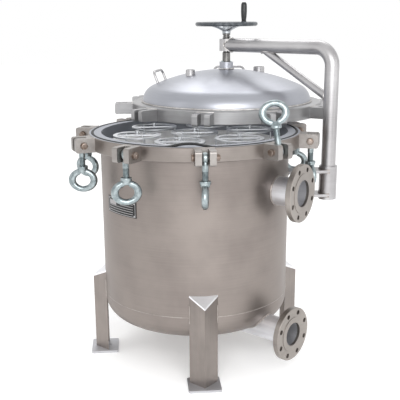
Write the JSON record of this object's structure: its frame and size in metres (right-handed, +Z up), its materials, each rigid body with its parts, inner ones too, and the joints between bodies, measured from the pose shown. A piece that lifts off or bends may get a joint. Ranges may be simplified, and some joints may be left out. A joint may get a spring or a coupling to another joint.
{
  "type": "bag filter housing",
  "caption": "Stainless multi-bag filter housing on angle-iron legs, its domed lid swung aside on a davit with a lifting screw and handwheel, swing bolts with eye nuts.",
  "frame": {"origin": "on the floor, on the vessel's axis", "axes": "+Z up along the vessel's axis; the front leg and the nameplate's side towards -Y; the davit's pillar towards +X"},
  "size_m": [1.2039, 1.4495, 1.4731],
  "materials": {
    "vessel_steel": "satin",
    "flange_steel": "machined",
    "dome_steel": "polished satin",
    "pipe_steel": "satin",
    "leg_steel": "satin",
    "basket_steel": "bright",
    "zinc_steel": "zinc plated",
    "screw_steel": "oiled trapezoidal thread",
    "wheel_iron": "black paint",
    "bronze": "turned",
    "grip_plastic": "matte",
    "seal_rubber": "matte",
    "bag_felt": "needle felt",
    "plate_black": "satin black"
  },
  "bodies": {
    "vessel": {"vessel_shell": "vessel_steel", "bottom_head": "vessel_steel", "body_flange": "flange_steel", "body_lugs": "flange_steel", "hinge_pins": "zinc_steel", "flange_o_ring": "seal_rubber", "inlet_pipe": "pipe_steel", "inlet_flange": "pipe_steel", "outlet_pipe": "pipe_steel", "outlet_flange": "pipe_steel", "legs": "leg_steel", "leg_caps": "leg_steel", "foot_plates": "leg_steel", "tubesheet_ledge": "flange_steel", "tubesheet": "flange_steel", "strainer_baskets": "basket_steel", "filter_bags": "bag_felt", "hold_down_frames": "basket_steel", "nameplate": "plate_black", "davit_socket": "pipe_steel", "socket_brackets": "pipe_steel"},
    "davit": {"davit_pipe": "pipe_steel", "davit_brace": "pipe_steel", "lift_nut": "pipe_steel"},
    "thrust_collar": {"thrust_collar": "bronze"},
    "lid": {"lid_flange": "flange_steel", "lid_dome": "dome_steel", "lid_lugs": "flange_steel", "lid_boss": "dome_steel", "boss_cap": "dome_steel", "lid_handles": "pipe_steel", "lid_couplings": "pipe_steel", "coupling_plugs": "zinc_steel"},
    "lift_screw": {"lift_screw": "screw_steel", "handwheel": "wheel_iron", "hub_nut": "zinc_steel", "grip_spindle": "zinc_steel"},
    "wheel_grip": {"wheel_grip": "grip_plastic"},
    "swing_bolt_01": {"swing_bolt_01": "zinc_steel"},
    "swing_bolt_02": {"swing_bolt_02": "zinc_steel"},
    "swing_bolt_03": {"swing_bolt_03": "zinc_steel"},
    "swing_bolt_04": {"swing_bolt_04": "zinc_steel"},
    "swing_bolt_05": {"swing_bolt_05": "zinc_steel"},
    "swing_bolt_06": {"swing_bolt_06": "zinc_steel"},
    "swing_bolt_07": {"swing_bolt_07": "zinc_steel"},
    "swing_bolt_08": {"swing_bolt_08": "zinc_steel"},
    "swing_bolt_09": {"swing_bolt_09": "zinc_steel"},
    "swing_bolt_10": {"swing_bolt_10": "zinc_steel"},
    "eye_nut_01": {"eye_nut_01": "zinc_steel"},
    "eye_nut_02": {"eye_nut_02": "zinc_steel"},
    "eye_nut_03": {"eye_nut_03": "zinc_steel"},
    "eye_nut_04": {"eye_nut_04": "zinc_steel"},
    "eye_nut_05": {"eye_nut_05": "zinc_steel"},
    "eye_nut_06": {"eye_nut_06": "zinc_steel"},
    "eye_nut_07": {"eye_nut_07": "zinc_steel"},
    "eye_nut_08": {"eye_nut_08": "zinc_steel"},
    "eye_nut_09": {"eye_nut_09": "zinc_steel"},
    "eye_nut_10": {"eye_nut_10": "zinc_steel"}
  },
  "joints": [
    {"name": "davit_swing", "type": "hinge", "parent": "vessel", "child": "davit", "pos_m": [0.57, 0, 0.73], "axis": [0, 0, -1], "range_deg": [-32, 100]},
    {"name": "lid_lift", "type": "slide", "parent": "davit", "child": "thrust_collar", "axis": [0, 0, 1], "range_m": [-0.006, 0.025]},
    {"name": "lid_swivel", "type": "hinge", "parent": "thrust_collar", "child": "lid", "pos_m": [0.18126, 0.41687, 1.2], "axis": [0, 0, 1], "continuous": true},
    {"name": "screw_turn", "type": "hinge", "parent": "thrust_collar", "child": "lift_screw", "pos_m": [0.18126, 0.41687, 1.2], "axis": [0, 0, 1], "range_deg": [-370, 1510]},
    {"name": "grip_spin", "type": "hinge", "parent": "lift_screw", "child": "wheel_grip", "pos_m": [0.24465, 0.30109, 1.42], "axis": [0, 0, 1], "continuous": true},
    {"name": "bolt_01_swing", "type": "hinge", "parent": "vessel", "child": "swing_bolt_01", "pos_m": [0, -0.48, 0.932], "axis": [-1, 0, 0], "range_deg": [0, 192]},
    {"name": "bolt_02_swing", "type": "hinge", "parent": "vessel", "child": "swing_bolt_02", "pos_m": [0.28214, -0.38833, 0.932], "axis": [-0.809, -0.5878, 0], "range_deg": [-165, 0]},
    {"name": "bolt_03_swing", "type": "hinge", "parent": "vessel", "child": "swing_bolt_03", "pos_m": [0.45651, -0.14833, 0.932], "axis": [-0.309, -0.9511, 0], "range_deg": [0, 192]},
    {"name": "bolt_04_swing", "type": "hinge", "parent": "vessel", "child": "swing_bolt_04", "pos_m": [0.45651, 0.14833, 0.932], "axis": [0.309, -0.9511, 0], "range_deg": [0, 80]},
    {"name": "bolt_05_swing", "type": "hinge", "parent": "vessel", "child": "swing_bolt_05", "pos_m": [0.28214, 0.38833, 0.932], "axis": [0.809, -0.5878, 0], "range_deg": [0, 80]},
    {"name": "bolt_06_swing", "type": "hinge", "parent": "vessel", "child": "swing_bolt_06", "pos_m": [0, 0.48, 0.932], "axis": [1, 0, 0], "range_deg": [0, 80]},
    {"name": "bolt_07_swing", "type": "hinge", "parent": "vessel", "child": "swing_bolt_07", "pos_m": [-0.28214, 0.38833, 0.932], "axis": [0.809, 0.5878, 0], "range_deg": [0, 80]},
    {"name": "bolt_08_swing", "type": "hinge", "parent": "vessel", "child": "swing_bolt_08", "pos_m": [-0.45651, 0.14833, 0.932], "axis": [0.309, 0.9511, 0], "range_deg": [0, 192]},
    {"name": "bolt_09_swing", "type": "hinge", "parent": "vessel", "child": "swing_bolt_09", "pos_m": [-0.45651, -0.14833, 0.932], "axis": [-0.309, 0.9511, 0], "range_deg": [0, 192]},
    {"name": "bolt_10_swing", "type": "hinge", "parent": "vessel", "child": "swing_bolt_10", "pos_m": [-0.28214, -0.38833, 0.932], "axis": [-0.809, 0.5878, 0], "range_deg": [0, 192]},
    {"name": "nut_01_spin", "type": "hinge", "parent": "swing_bolt_01", "child": "eye_nut_01", "pos_m": [0, -0.48, 0.932], "axis": [0, 0, -1], "continuous": true},
    {"name": "nut_02_spin", "type": "hinge", "parent": "swing_bolt_02", "child": "eye_nut_02", "pos_m": [0.28214, -0.38833, 0.932], "axis": [-0.1222, 0.1682, 0.9781], "continuous": true},
    {"name": "nut_03_spin", "type": "hinge", "parent": "swing_bolt_03", "child": "eye_nut_03", "pos_m": [0.45651, -0.14833, 0.932], "axis": [0, 0, -1], "continuous": true},
    {"name": "nut_04_spin", "type": "hinge", "parent": "swing_bolt_04", "child": "eye_nut_04", "pos_m": [0.45651, 0.14833, 0.932], "axis": [0, 0, -1], "continuous": true},
    {"name": "nut_05_spin", "type": "hinge", "parent": "swing_bolt_05", "child": "eye_nut_05", "pos_m": [0.28214, 0.38833, 0.932], "axis": [0, 0, -1], "continuous": true},
    {"name": "nut_06_spin", "type": "hinge", "parent": "swing_bolt_06", "child": "eye_nut_06", "pos_m": [0, 0.48, 0.932], "axis": [0, 0, -1], "continuous": true},
    {"name": "nut_07_spin", "type": "hinge", "parent": "swing_bolt_07", "child": "eye_nut_07", "pos_m": [-0.28214, 0.38833, 0.932], "axis": [0, 0, -1], "continuous": true},
    {"name": "nut_08_spin", "type": "hinge", "parent": "swing_bolt_08", "child": "eye_nut_08", "pos_m": [-0.45651, 0.14833, 0.932], "axis": [0, 0, -1], "continuous": true},
    {"name": "nut_09_spin", "type": "hinge", "parent": "swing_bolt_09", "child": "eye_nut_09", "pos_m": [-0.45651, -0.14833, 0.932], "axis": [0, 0, -1], "continuous": true},
    {"name": "nut_10_spin", "type": "hinge", "parent": "swing_bolt_10", "child": "eye_nut_10", "pos_m": [-0.28214, -0.38833, 0.932], "axis": [0, 0, -1], "continuous": true}
  ],
  "couplings": [
    {"joint": "screw_turn", "follows": "lid_lift", "rad_per_m": 1047.2}
  ]
}
